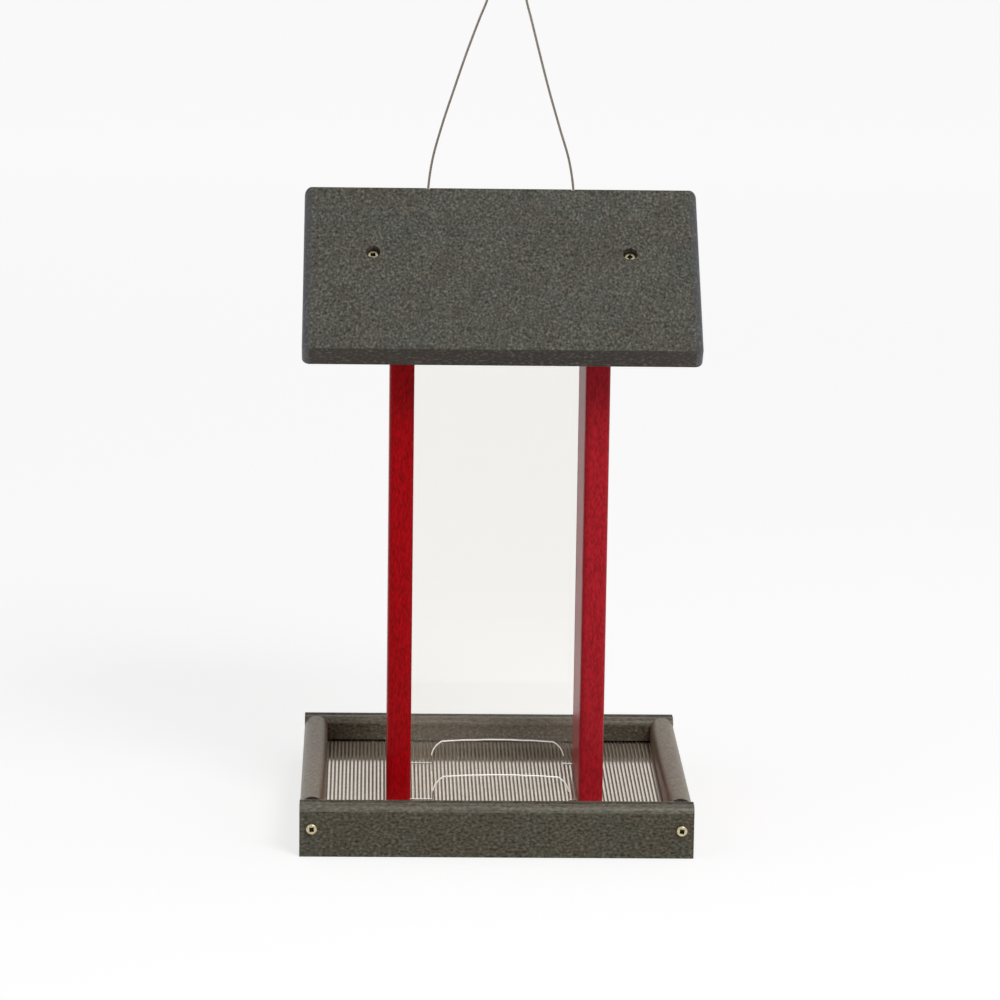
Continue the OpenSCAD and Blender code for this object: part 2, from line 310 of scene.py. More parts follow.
def modify(obj, kind, **settings):
    """Adds a modifier with its settings and applies it."""
    select_only(obj)
    modifier = obj.modifiers.new(kind, kind)
    for name, value in settings.items():
        setattr(modifier, name, value)
    bpy.ops.object.modifier_apply(modifier=modifier.name)


def carve(obj, tool):
    """Cuts the tool's shape out of the object, and puts the tool away."""
    modify(obj, "BOOLEAN", operation="DIFFERENCE", solver="EXACT", object=tool)
    bpy.data.objects.remove(tool)
    return obj


def join(parts, name):
    """Makes one piece of several."""
    clear_selection()
    for part in parts:
        part.select_set(True)
    bpy.context.view_layer.objects.active = parts[0]
    bpy.ops.object.join()
    parts[0].name = name
    return parts[0]


def copy_at(obj, place):
    """A copy with a mesh of its own, moved by a matrix."""
    twin = obj.copy()
    twin.data = obj.data.copy()
    twin.data.transform(place)
    bpy.context.scene.collection.objects.link(twin)
    return twin


def dress(obj, *materials):
    """Gives the piece its materials."""
    for material in materials:
        obj.data.materials.append(material)
    return obj


def on_top(points, height):
    """Whether all the points lie at that height or above it."""
    return all(v.z > height - NEAR for v in points)


def face_with(obj, index, pick):
    """Gives the faces that pick names the material of that index, and the others the first."""
    for face in obj.data.polygons:
        face.material_index = index if pick(face) else 0


def hand_over(obj, node, smooth=35):
    """Finishes a piece: its shading, the body that it rides on and the node it stands for."""
    select_only(obj)
    bpy.ops.object.shade_smooth_by_angle(angle=math.radians(smooth))
    # broad faces stay flat right up to the rounds beside them
    modify(obj, "WEIGHTED_NORMAL", keep_sharp=True)
    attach(obj, BODY_OF[node])
    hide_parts(node)
    return obj


# ---------------------------------------------------------------- materials


def add(tree, kind, inputs=None, stops=(), **settings):
    """Adds a shader node with its settings, its inputs and a ramp's (position, linear colour)
    stops. An input is a value, a socket to link, or a node whose first output is linked."""
    node = tree.nodes.new("ShaderNode" + kind)
    for name, value in settings.items():
        setattr(node, name, value)
    for place, (position, value) in enumerate(stops):
        elements = node.color_ramp.elements
        element = elements[place] if place < len(elements) else elements.new(position)
        element.position = position
        element.color = rgba(value)
    for name, value in (inputs or {}).items():
        if isinstance(value, bpy.types.Node):
            value = value.outputs[0]
        if isinstance(value, bpy.types.NodeSocket):
            tree.links.new(value, node.inputs[name])
        else:
            node.inputs[name].default_value = value
    return node


def rgba(value):
    return (*value, 1.0)


def new_material(name):
    """An empty material, with its node tree."""
    material = bpy.data.materials.new(name)
    material.use_nodes = True
    material.node_tree.nodes.clear()
    return material, material.node_tree


def once(make):
    """Each material is made once and shared by its pieces."""
    made = {}

    def get():
        if "it" not in made:
            made["it"] = make(bpy.context.scene.feeder_finish)
        return made["it"]

    return get


def skin(material, tree, height, relief, depth, sockets):
    """Ends a material: its surface stands out by depth where height is 1, as strongly as relief."""
    bump = add(tree, "Bump", {"Height": height, "Strength": relief, "Distance": depth})
    shader = add(tree, "BsdfPrincipled", {**sockets, "Normal": bump})
    add(tree, "OutputMaterial", {"Surface": shader})
    return material


FLECK = 1.45 * MM     # usual width of a fleck of regrind
HDPE_IOR = 1.5


def speckled(name, finish, body, stretch, roughness, contrast=1.0, sheen=0.25):
    """Recycled HDPE lumber: regrind flecks a millimetre or two wide in a charcoal body, drawn out
    along the board by the extruder, over a brushed surface that blurs its sheen."""
    material, tree = new_material(name)
    place = add(tree, "TexCoord").outputs["Object"]
    drawn = add(tree, "Mapping", {"Vector": place, "Scale": stretch})
    flecks = add(tree, "TexNoise", {
        "Vector": drawn, "Scale": 1 / FLECK, "Detail": 1.5, "Roughness": 0.5})
    clouds = add(tree, "TexNoise", {"Vector": place, "Scale": 45.0, "Detail": 1.0})
    shade = add(tree, "MapRange", {
        "Value": clouds, "From Min": 0.3, "From Max": 0.7, "To Min": -0.02, "To Max": 0.02})
    mixed = add(tree, "Math", {0: flecks, 1: shade})
    tone = add(tree, "ValToRGB", {"Fac": mixed}, [
        (0.5 - 0.225 / contrast, finish.charcoal_dark), (0.5, body), (0.53, body),
        (min(1.0, 0.53 + 0.27 / contrast), finish.charcoal_light)])
    # regrind of many colours: the body drifts between warm and cool
    drift = add(tree, "ValToRGB", {"Fac": clouds.outputs["Color"]}, [
        (0.35, (1.0, 0.96, 0.92)), (0.65, (0.95, 1.0, 1.0))])
    tinted = add(tree, "Mix", {0: 1.0, 6: tone, 7: drift}, data_type="RGBA", blend_type="MULTIPLY")
    return skin(material, tree, flecks, 0.3 * contrast, 0.2 * MM, {
        "Base Color": tinted.outputs[2], "Roughness": roughness,
        "Specular IOR Level": sheen, "IOR": HDPE_IOR})


@once
def roof_lumber(finish):
    # Panels cut from wide sheet: the flecks are a little longer down the slope than across
    return speckled("Charcoal HDPE sheet, brushed", finish, finish.charcoal,
                    (0.95, 0.72, 0.72), 0.62, 0.88)


@once
def roof_edge(finish):
    # The same sheet where the router rounded it: smoother, so it mirrors the room as a soft line.
    # Its body is darker and bluer than the sheet's: painted shade on the rounded gables, and a
    # painted cool reflection of the room
    return speckled("Charcoal HDPE sheet, routed", finish, finish.charcoal_rake_painted_shade,
                    (0.95, 0.6, 0.6), 0.4, 0.45, 0.4)


@once
def tray_lumber(finish):
    # Boards: the extruder draws the flecks out along the length
    return speckled("Charcoal HDPE board, brushed", finish, finish.charcoal_warm,
                    (0.62, 0.9, 0.9), 0.7, 0.8, 0.05)


@once
def tray_edge(finish):
    # The same boards where the router rounded them. Their body is lighter than the boards': a
    # painted highlight along the rounds, added to their real sheen
    return speckled("Charcoal HDPE board, routed", finish, finish.charcoal_routed_highlight,
                    (0.5, 1.0, 1.0), 0.4, 0.8, 0.6)


@once
def sawn_lumber(finish):
    # Ends and eaves as the fine saw left them, with hardly a fleck. Their darker body is partly
    # painted shade: the shade under the eaves and in the gaps at the rail ends
    return speckled("Charcoal HDPE, sawn", finish, finish.charcoal_sawn_shaded, (0.6, 1.0, 1.0), 0.45, 0.3)


def streaked(name, stretch, width, detail, stops, relief, depth, roughness, sheen):
    """HDPE lumber of one colour: streaks of that width, in metres, drawn out along the board, are
    a little darker or paler and stand as much as depth in or out."""
    material, tree = new_material(name)
    place = add(tree, "TexCoord").outputs["Object"]
    drawn = add(tree, "Mapping", {"Vector": place, "Scale": stretch})
    streaks = add(tree, "TexNoise", {
        "Vector": drawn, "Scale": 1 / width, "Detail": detail, "Roughness": 0.5})
    tone = add(tree, "ValToRGB", {"Fac": streaks}, stops)
    return skin(material, tree, streaks, relief, depth, {
        "Base Color": tone, "Roughness": roughness, "Specular IOR Level": sheen, "IOR": HDPE_IOR})


@once
def rail_lumber_painted_highlight(finish):
    # Milled to a full round: smooth, so that it mirrors the sky at a low angle and looks pale. Its
    # body is also paler than the boards': a painted highlight on top of that sheen
    dark, body, pale = (tuple(c * share for c in finish.rail) for share in (0.7, 1.0, 1.3))
    return streaked("Charcoal HDPE board, milled round", (0.9, 0.45, 0.9), FLECK / 0.8, 2.0,
                    [(0.34, dark), (0.5, body), (0.66, pale)], 0.2, 0.1 * MM, 0.38, 0.55)


def satin_red(name, body, dark):
    """Red HDPE lumber: short dark flecks drawn out along the board, under a satin skin."""
    return streaked(name, (1.5, 1.5, 0.5), FLECK, 1.5, [(0.15, dark), (0.66, body)],
                    0.25, 0.15 * MM, 0.36, 0.1)


@once
def red_lumber(finish):
    # The left board, of a deep red batch
    return satin_red("Red HDPE board, satin", finish.red, finish.red_dark)


@once
def red_lumber_painted_light(finish):
    # The right board: lighter, pinker copies of the left board's reds. This is painted light and
    # sheen for the extra light that falls on this board
    return satin_red("Red HDPE board, satin, painted lighter", finish.red_painted_light, finish.red_dark_painted_light)


@once
def clear_acrylic(finish):
    """Cast acrylic sheet: clear, smooth on both faces; light passes it without a dark shadow."""
    material, tree = new_material("Clear acrylic sheet, polished")
    glass = add(tree, "BsdfPrincipled", {
        "Base Color": rgba(finish.acrylic), "Roughness": 0.0, "IOR": 1.4,
        "Transmission Weight": 1.0, "Specular Tint": rgba(finish.film)})
    through = add(tree, "BsdfTransparent", {"Color": rgba(finish.acrylic)})
    path = add(tree, "LightPath")
    mix = add(tree, "MixShader", {0: path.outputs["Is Shadow Ray"], 1: glass, 2: through})
    add(tree, "OutputMaterial", {"Surface": mix})
    return material


@once
def routed_acrylic_glow(finish):
    """The edge that a saw or router leaves on acrylic: frosted white, with a painted glow that
    makes it a little brighter than what lights it. The glow stands in for the light that the sheet
    gathers over its faces and lets out at its edges."""
    material, tree = new_material("Acrylic edge, routed and frosted, painted glow")
    place = add(tree, "TexCoord").outputs["Object"]
    chatter = add(tree, "TexNoise", {"Vector": place, "Scale": 500.0, "Detail": 2.0})
    return skin(material, tree, chatter, 1.0, 0.2 * MM, {
        "Base Color": rgba(finish.sawn), "Roughness": 0.5, "IOR": 1.49,
        # the white emission is a painted glow: the edge shines though it is no lamp
        "Emission Color": (1.0, 1.0, 1.0, 1.0), "Emission Strength": 0.3})


def dull_metal(name, tone, roughness, metallic, grain):
    """Metal with a fine uneven skin; grain is the size of its mottling in metres."""
    material, tree = new_material(name)
    place = add(tree, "TexCoord").outputs["Object"]
    mottle = add(tree, "TexNoise", {"Vector": place, "Scale": 1 / grain, "Detail": 3.0})
    dark = tuple(c * 0.8 for c in tone)
    body = add(tree, "ValToRGB", {"Fac": mottle}, [(0.35, dark), (0.62, tone)])
    rough = add(tree, "MapRange", {
        "Value": mottle, "To Min": roughness * 0.75, "To Max": roughness * 1.25})
    return skin(material, tree, mottle, 0.2, 0.05 * MM, {
        "Base Color": body, "Roughness": rough, "Metallic": metallic})


SAG_CURVE = 0.065     # the sag's height is this times the square of the place from front to back


@once
def screen_wire(finish):
    """Drawn wire, bright galvanised: each wire carries a line of light along its back. The cloth
    sags a little between the boards, so that its mirror is dished from front to back."""
    material, tree = new_material("Wire cloth, bright galvanised")
    place = add(tree, "TexCoord").outputs["Object"]
    mottle = add(tree, "TexNoise", {"Vector": place, "Scale": 1 / (4 * MM), "Detail": 2.0})
    body = add(tree, "ValToRGB", {"Fac": mottle}, [
        (0.35, tuple(c * 0.88 for c in finish.wire)), (0.6, finish.wire)])
    depth = add(tree, "SeparateXYZ", {"Vector": place}).outputs["Y"]
    dish = add(tree, "Math", {0: depth, 1: depth}, operation="MULTIPLY")
    return skin(material, tree, dish, 1.0, SAG_CURVE, {
        "Base Color": body, "Roughness": 0.09, "Metallic": 0.93})


@once
def cross_wire(finish):
    # The wires below: their darker, duller colour is painted shade for the shade that falls between
    # and under the long wires
    return dull_metal("Wire cloth, dull galvanised, painted shade", finish.cross_wire, 0.4, 1.0, 3 * MM)


@once
def screw_steel(finish):
    # Cold-headed stainless, tumbled to a satin skin
    return dull_metal("Stainless steel, tumbled", finish.steel, 0.3, 1.0, 1.2 * MM)


@once
def rope_wire(finish):
    # Hot-dipped wires, dulled by the air
    return dull_metal("Galvanised wire rope", finish.rope, 0.6, 0.5, 1.5 * MM)


@once
def screw_recess_shade(finish):
    # Punched deep and never tumbled. Its dark colour is painted shade in the depth of the recess
    return dull_metal("Stainless steel, punched recess, painted shade", finish.recess, 0.5, 0.6, 1.0 * MM)


@once
def crimp_metal(finish):
    # Soft sleeve pressed in a crimping tool
    return dull_metal("Pressed aluminium", finish.crimp, 0.4, 1.0, 1.0 * MM)


# ---------------------------------------------------------------- the tray


def kerf_waste(boards):
    """The block that one pass of the saw takes out of all four tray boards."""
    inside_x = TRAY_HIGH.x - BOARD + boards.kerf_depth
    inside_y = -TRAY_LOW.y - BOARD + boards.kerf_depth
    return block("kerf", (-inside_x, -inside_y, SCREEN_LOW.z),
                 (inside_x, inside_y, SCREEN_LOW.z + boards.kerf))


class FEEDER_OT_tray_boards(bpy.types.Operator):
    """Front and back tray boards, with routed upper edges and a saw kerf for the screen"""

    bl_idname = "feeder.tray_boards"
    bl_label = "Tray boards"

    def execute(self, context):
        boards = context.scene.feeder_boards
        for node in ("front_board", "back_board"):
            low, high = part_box(node)
            board = dress(block(node + "_milled", low, high), tray_lumber(), tray_edge())
            round_edges(board, lambda p: on_top(p, high.z) and p[0].y == p[1].y,
                        boards.edge_radius, 8, material=1)
            break_edges(board, boards.arris)
            carve(board, kerf_waste(boards))
            hand_over(board, node)
        return {"FINISHED"}


class FEEDER_OT_side_rails(bpy.types.Operator):
    """Side rails with a full round top"""

    bl_idname = "feeder.side_rails"
    bl_label = "Side rails"

    def execute(self, context):
        boards = context.scene.feeder_boards
        for node in ("left_rail", "right_rail"):
            low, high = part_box(node)
            rail = dress(block(node + "_milled", low, high), rail_lumber_painted_highlight(), sawn_lumber())
            # the rail's sawn ends take the darker sawn lumber: painted shade for the gap where they
            # meet the tray boards
            face_with(rail, 1, lambda face: abs(face.normal.y) > 0.9)
            round_edges(rail, lambda p: on_top(p, high.z) and p[0].x == p[1].x,
                        BOARD / 2 - 0.01 * MM, 14)
            break_edges(rail, boards.arris, angle=70)
            carve(rail, kerf_waste(boards))
            hand_over(rail, node)
        return {"FINISHED"}


def laid_wires(name, wire, length, pitch, count, height):
    """Straight wires along Y, side by side: one rod repeated across the floor."""
    first = (-(count - 1) / 2 * pitch, -length / 2, height)
    bar = rod(name, wire / 2, length, 12, first, (0, 1, 0))
    break_edges(bar, 0.1 * MM, segments=1)
    modify(bar, "ARRAY", use_relative_offset=False, use_constant_offset=True,
           constant_offset_displace=(pitch, 0, 0), count=count)
    return bar


class FEEDER_OT_floor_screen(bpy.types.Operator):
    """Wire cloth: bright wires front to back, pressed onto wires that cross under them"""

    bl_idname = "feeder.floor_screen"
    bl_label = "Floor screen"

    def execute(self, context):
        screen = context.scene.feeder_screen
        size = SCREEN_HIGH - SCREEN_LOW
        across, deep = int(size.x / screen.pitch), int(size.y / screen.pitch)
        upper = laid_wires("screen_long_wires", screen.wire, size.y, screen.pitch, across,
                           SCREEN_HIGH.z - screen.wire * 0.25)
        for vertex in upper.data.vertices:
            vertex.co.z = min(vertex.co.z, SCREEN_HIGH.z)
        lower = laid_wires("screen_cross_wires", screen.cross_wire, size.x, screen.pitch, deep,
                           SCREEN_LOW.z + screen.cross_wire / 2)
        lower.data.transform(Matrix.Rotation(math.pi / 2, 4, "Z"))
        hand_over(dress(upper, screen_wire()), "floor_screen", smooth=25)
        hand_over(dress(lower, cross_wire()), "floor_screen", smooth=50)
        return {"FINISHED"}


# ---------------------------------------------------------------- the hopper


class FEEDER_OT_end_boards(bpy.types.Operator):
    """Red end boards: gable top, eased upright edges, grooves for the panes and a cable hole"""

    bl_idname = "feeder.end_boards"
    bl_label = "End boards"

    def execute(self, context):
        boards = context.scene.feeder_boards
        rope = context.scene.feeder_rope
        pane_y = -middle_of("front_pane").y
        for node, side, lumber in (("left_end_board", -1, red_lumber),
                                   ("right_end_board", 1, red_lumber_painted_light)):
            low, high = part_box(node)
            board = dress(block(node + "_milled", low, high), lumber())
            saw_gable(board, high.z)
            round_edges(board, lambda p: abs(p[0].z - p[1].z) > 0.1, boards.gable_radius, 7)
            break_edges(board, boards.arris)
            inner = low.x if side > 0 else high.x
            across = (inner - side * 1 * MM, inner + side * boards.groove_depth)
            for y in (-pane_y, pane_y):
                carve(board, block("groove", (min(across), y - boards.groove / 2, low.z - MM),
                                   (max(across), y + boards.groove / 2, high.z + MM)))
            hole = rod("hole", rope.diameter * 0.75, 2 * BOARD, 24,
                       (inner - side * BOARD / 2, 0, ROUTE[0][1]), (side, 0, 0))
            carve(board, hole)
            hand_over(board, node)
        return {"FINISHED"}


def arch_tool(panes, foot, y):
    """The router's path through a pane: straight sides, round corners and a crowned top."""
    half = panes.arch_width / 2
    top = foot + panes.arch_height
    tool = block("arch", (-half, y - 10 * MM, foot - 5 * MM), (half, y + 10 * MM, top))
    round_edges(tool, lambda p: on_top(p, top) and p[0].x == p[1].x,
                panes.arch_radius, 10)
    cut_edges(tool, lambda p: on_top(p, top) and abs(p[0].x - p[1].x) > half, 23)
    for vertex in tool.data.vertices:
        x = vertex.co.x
        crown = top - x ** 2 / (2 * panes.crown_radius)
        if vertex.co.z > crown:
            # the router was led by hand: the crown waves by a tenth of a millimetre or so
            vertex.co.z = crown + 0.12 * MM * math.sin(x * 310) * math.sin(x * 97)
        vertex.co.x = x + panes.arch_shift
    return tool


class FEEDER_OT_panes(bpy.types.Operator):
    """Clear acrylic panes with a routed seed opening at the foot"""

    bl_idname = "feeder.panes"
    bl_label = "Panes"

    def execute(self, context):
        panes = context.scene.feeder_panes
        for node in ("front_pane", "rear_pane"):
            low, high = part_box(node)
            pane = dress(block(node + "_sheet", low, high), clear_acrylic(), routed_acrylic_glow())
            carve(pane, arch_tool(panes, low.z, middle_of(node).y))
            above = low.z + 1.2 * panes.arch_height
            # the edge that the router left is scraped
            round_edges(pane, lambda p: abs(p[0].y - p[1].y) < NEAR
                        and low.z + NEAR < max(p[0].z, p[1].z) < above, panes.chamfer, 1)
            # the opening's edge above a third of its height takes the frosted edge with its painted
            # glow; lower down it stays clear
            face_with(pane, 1, lambda face: abs(face.normal.y) < 0.99
                      and low.z + 0.3 * panes.arch_height < face.center.z < above)
            hand_over(pane, node, smooth=20)
        return {"FINISHED"}


# ---------------------------------------------------------------- the roof


def slope_frame(side):
    """Matrix that puts +Y down the front (side -1) or rear (side 1) slope and +Z square to it."""
    turn = Matrix.Rotation(-SLOPE, 4, "X")
    half_turn = Matrix.Rotation(math.pi if side < 0 else 0.0, 4, "Z")
    return Matrix.Translation((0, 0, RIDGE)) @ half_turn @ turn


class FEEDER_OT_roof_panels(bpy.types.Operator):
    """Roof panels: mitred ridge, routed gable edges, sunk screw seats and cable holes"""

    bl_idname = "feeder.roof_panels"
    bl_label = "Roof panels"

    def execute(self, context):
        boards = context.scene.feeder_boards
        roof = context.scene.feeder_roof
        screw_x = middle_of("right_roof_cleat").x
        for node, side in (("roof_front_panel", -1), ("roof_rear_panel", 1)):
            low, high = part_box(node)
            panel = block(node + "_milled", (low.x, 0, -BOARD), (high.x, PANEL_LENGTH, 0))
            dress(panel, roof_lumber(), roof_edge(), sawn_lumber())
            # the eave's sawn end takes the darker sawn lumber: partly painted shade on that
            # downward face
            face_with(panel, 2, lambda face: face.normal.y > 0.9)
            # the router runs along both gable edges and round the corners of the eave
            round_edges(panel, lambda p: p[0].x == p[1].x
                        and (on_top(p, 0) or all(v.y > PANEL_LENGTH - NEAR for v in p)),
                        boards.rake_radius, 8, material=1)
            round_edges(panel, lambda p: all(v.z < -BOARD + NEAR for v in p) and p[0].x == p[1].x
                        and abs(p[0].y - p[1].y) > BOARD, boards.under_radius, 4)
            for x in (-screw_x, screw_x):
                carve(panel, rod("seat", roof.seat_diameter / 2, 2 * roof.seat_depth, 40,
                                 (x, roof.seat_place, -roof.seat_depth)))
            panel.data.transform(slope_frame(side))
            saw_off(panel, (0, 0, RIDGE), (0, -side, 0))
            break_edges(panel, boards.arris)
            for x in (-roof.hole_spacing / 2, roof.hole_spacing / 2):
                carve(panel, rod("hole", roof.hole_diameter / 2, 4 * BOARD, 32,
                                 (x, 0, RIDGE - 3 * BOARD)))
            hand_over(panel, node)
        return {"FINISHED"}


class FEEDER_OT_gable_cleats(bpy.types.Operator):
    """Wedges under the panels, outside the end boards"""

    bl_idname = "feeder.gable_cleats"
    bl_label = "Gable cleats"

    def execute(self, context):
        boards = context.scene.feeder_boards
        for node in ("left_roof_cleat", "right_roof_cleat"):
            low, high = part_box(node)
            cleat = dress(block(node + "_sawn", low, high), tray_lumber())
            saw_gable(cleat, high.z)
            break_edges(cleat, boards.arris)
            hand_over(cleat, node)
        return {"FINISHED"}


# ---------------------------------------------------------------- fasteners


def pan_screw(head, shank, length, screws):
    """A wood screw pointing down, its seat at the origin: domed head, square recess, thread."""
    height = screws.head_height
    top = dress(rod("head", head / 2, height, 40), screw_steel(), screw_recess_shade())
    round_edges(top, lambda p: on_top(p, height), height * 0.45, 6)
    clear_selection()
    corner = screws.drive / math.sqrt(2)
    bpy.ops.mesh.primitive_cone_add(
        vertices=4, radius1=corner * 0.82, radius2=corner * 1.02, depth=height,
        location=(0, 0, height * 0.85), rotation=(0, 0, math.radians(45)))
    carve(top, settle("recess"))
    break_edges(top, 0.15 * MM, segments=1)
    # the recess takes the dark recess metal: painted shade inside the square drive
    face_with(top, 1, lambda face: 0.1 * height < face.center.z < 0.995 * height
              and max(abs(face.center.x), abs(face.center.y)) < screws.drive * 0.56)
    tip, core_radius = 1.5 * shank, 0.36 * shank
    core = rod("core", core_radius, length - tip, 16, (0, 0, -length + tip))
    clear_selection()
    bpy.ops.mesh.primitive_cone_add(
        vertices=16, radius1=0.05 * MM, radius2=core_radius, depth=tip,
        location=(0, 0, -length + tip / 2))
    point = settle("point")
    return join([top, core, point, screw_thread(shank, length, screws.thread)], "screw")


def screw_thread(shank, length, rise):
    """A sharp ridge wound round the core: one small triangle swept by the Screw modifier."""
    clear_selection()
    tooth = rise * 0.3     # radius of the triangle, whose foot sinks into the core
    bpy.ops.mesh.primitive_circle_add(
        vertices=3, radius=tooth, location=(shank / 2 - tooth, 0, 0),
        rotation=(math.pi / 2, 0, math.pi / 2))
    ridge = settle("thread")
    reach = max(v.co.x for v in ridge.data.vertices)
    ridge.data.transform(Matrix.Translation((shank / 2 - reach, 0, -length + 1.2 * shank)))
    modify(ridge, "SCREW", steps=14, render_steps=14, screw_offset=rise,
           iterations=int((length - 2.2 * shank) / rise), use_merge_vertices=False)
    open_with(ridge, lambda p: False)
    bpy.ops.mesh.select_non_manifold(extend=False)
    bpy.ops.mesh.fill()
    bpy.ops.mesh.select_all(action="SELECT")
    bpy.ops.mesh.normals_make_consistent(inside=False)
    close()
    return ridge


def drive_in(name, node, screw, places):
    """Puts one copy of the screw at each place and makes one piece of them."""
    piece = join([copy_at(screw, place) for place in places], name)
    bpy.data.objects.remove(screw)
    return hand_over(piece, node)


class FEEDER_OT_corner_screws(bpy.types.Operator):
    """Small pan heads through the tray boards into the rails"""

    bl_idname = "feeder.corner_screws"
    bl_label = "Corner screws"

    def execute(self, context):
        screws = context.scene.feeder_screws
        for node, side in (("front_corner_screws", -1), ("back_corner_screws", 1)):
            low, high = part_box(node)
            screw = pan_screw(screws.small_head, screws.small_shank, screws.small_length, screws)
            x, z = high.x - screws.small_head / 2, (low.z + high.z) / 2
            seat = side * -TRAY_LOW.y
            turn = Matrix.Rotation(-side * math.pi / 2, 4, "X")
            places = [Matrix.Translation((way * x, seat, z)) @ turn @ Matrix.Rotation(spin, 4, "Z")
                      for way, spin in ((-1, 0.09), (1, -0.14))]
            drive_in(node + "_driven", node, screw, places)
        return {"FINISHED"}


class FEEDER_OT_roof_screws(bpy.types.Operator):
    """Pan heads in the sunk seats of the roof"""

    bl_idname = "feeder.roof_screws"
    bl_label = "Roof screws"

    def execute(self, context):
        screws, roof = context.scene.feeder_screws, context.scene.feeder_roof
        x = middle_of("right_roof_cleat").x
        for node, side in (("roof_front_screws", -1), ("roof_rear_screws", 1)):
            screw = pan_screw(screws.large_head, screws.large_shank, screws.large_length, screws)
            places = [slope_frame(side)
                      @ Matrix.Translation((way * x, roof.seat_place, -roof.seat_depth))
                      @ Matrix.Rotation(spin, 4, "Z") for way, spin in ((-1, 0.75), (1, 0.12))]
            drive_in(node + "_driven", node, screw, places)
        return {"FINISHED"}


class FEEDER_OT_floor_screws(bpy.types.Operator):
    """Pan heads and washers under the screen, into the end boards"""

    bl_idname = "feeder.floor_screws"
    bl_label = "Floor screws and washers"

    def execute(self, context):
        screws = context.scene.feeder_screws
        low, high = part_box("end_board_washers")
        x = middle_of("right_end_board").x
        radius = (high.x - low.x) / 2 - x
        y = (high.y - low.y) / 2 - radius
        places = [Matrix.Translation((a * x, b * y, 0)) for a in (-1, 1) for b in (-1, 1)]
        screw = pan_screw(screws.large_head, screws.large_shank, screws.large_length, screws)
        upright = Matrix.Translation((0, 0, low.z)) @ Matrix.Rotation(math.pi, 4, "X")
        drive_in("end_board_screws_driven", "end_board_screws", screw,
                 [place @ upright for place in places])
        washer = rod("washer", radius, high.z - low.z, 40, (0, 0, low.z))
        carve(washer, rod("hole", screws.large_shank / 2 + 0.2 * MM, 10 * MM, 24,
                          (0, 0, low.z - 5 * MM)))
        break_edges(washer, 0.2 * MM)
        piece = join([copy_at(washer, place) for place in places], "end_board_washers_stamped")
        bpy.data.objects.remove(washer)
        hand_over(dress(piece, screw_steel()), "end_board_washers")
        return {"FINISHED"}


# ---------------------------------------------------------------- the hanging cable

# The wire rope's route in the plane y = 0, as the construction lays it: x and z in metres
ROUTE = [(x * MM, z * MM) for x, z in (
    (-79, 330), (-67, 330), (-55, 330), (-49.3, 332.3), (-47, 338), (-47, 365), (-47, 392),
    (-47, 418), (-44.8, 434.5), (-38.7, 458), (-31.2, 481.5), (-23.4, 505), (-15, 528),
    (-10.3, 540), (-7.2, 552), (-5.4, 563), (-1.7, 570), (3, 572.2), (7.7, 570), (11.3, 563.5),
    (13, 552), (14.8, 540), (18, 528), (24, 505), (30.4, 481.5), (37.4, 458), (44.4, 434.5),
    (47, 418), (47, 392), (47, 365), (47, 338), (49.3, 332.3), (55, 330), (67, 330), (79, 330),
)]
SEAM_Z = RIDGE - 0.5 * MM     # the tails end and the bail begins in the mouths of the roof's holes
RING = 0.5 * MM       # distance between the rings of a strand


def heading(i):
    """Direction of the route at its point i; the nearer neighbour counts more."""
    here = Vector(ROUTE[i])
    if i == 0:
        return (Vector(ROUTE[1]) - here).normalized()
    before = here - Vector(ROUTE[i - 1])
    if i == len(ROUTE) - 1:
        return before.normalized()
    after = Vector(ROUTE[i + 1]) - here
    return (before.normalized() * after.length + after.normalized() * before.length).normalized()


def route_line():
    """Points of the rope's centreline, a ring's distance apart, with the length run to each."""
    line = []
    for i in range(len(ROUTE) - 1):
        p, q = Vector(ROUTE[i]), Vector(ROUTE[i + 1])
        chord = (q - p).length
        u, v = heading(i) * chord, heading(i + 1) * chord
        steps = max(1, round(chord / RING))
        for k in range(steps + (i == len(ROUTE) - 2)):
            t = k / steps
            line.append((2 * t**3 - 3 * t**2 + 1) * p + (t**3 - 2 * t**2 + t) * u
                        + (3 * t**2 - 2 * t**3) * q + (t**3 - t**2) * v)
    run = [0.0]
    for a, b in zip(line, line[1:]):
        run.append(run[-1] + (b - a).length)
    return line, run


def stranded(name, line, run, rope):
    """Seven strands along a stretch of the rope: one straight, six wound round it."""
    strand = rope.diameter / 5.7     # fuller than a sixth: the strands bed into one another
    last = len(line) - 1
    headings = [line[min(i + 1, last)] - line[max(i - 1, 0)] for i in range(last + 1)]
    parts = []
    for number in range(7):
        part = rod(name, strand, 1.0, 6)
        # one subdivision makes a hundred cuts at most, so the strand is cut, and cut again
        for _ in range(2):
            cut_edges(part, lambda p: abs(p[0].z - p[1].z) > NEAR, math.ceil(math.sqrt(last)) - 1)
        away = 0.0 if number == 0 else rope.diameter / 2 - strand
        for vertex in part.data.vertices:
            place = min(max(vertex.co.z, 0.0), 1.0) * last
            ring = min(last - 1, int(place))
            share = place - ring
            centre = line[ring].lerp(line[ring + 1], share)
            along = headings[ring].lerp(headings[ring + 1], share).normalized()
            reached = run[ring] + share * (run[ring + 1] - run[ring])
            turn = 2 * math.pi * (reached / rope.lay + number / 6)
            across, up = Vector((-along.y, 0, along.x)), Vector((0, 1, 0))
            x, y = vertex.co.x + away, vertex.co.y
            vertex.co = (Vector((centre.x, 0, centre.y))
                         + across * (x * math.cos(turn) - y * math.sin(turn))
                         + up * (x * math.sin(turn) + y * math.cos(turn)))
        parts.append(part)
    piece = join(parts, name)
    open_with(piece, lambda p: True, "FACE")
    bpy.ops.mesh.normals_make_consistent(inside=False)
    close()
    return piece


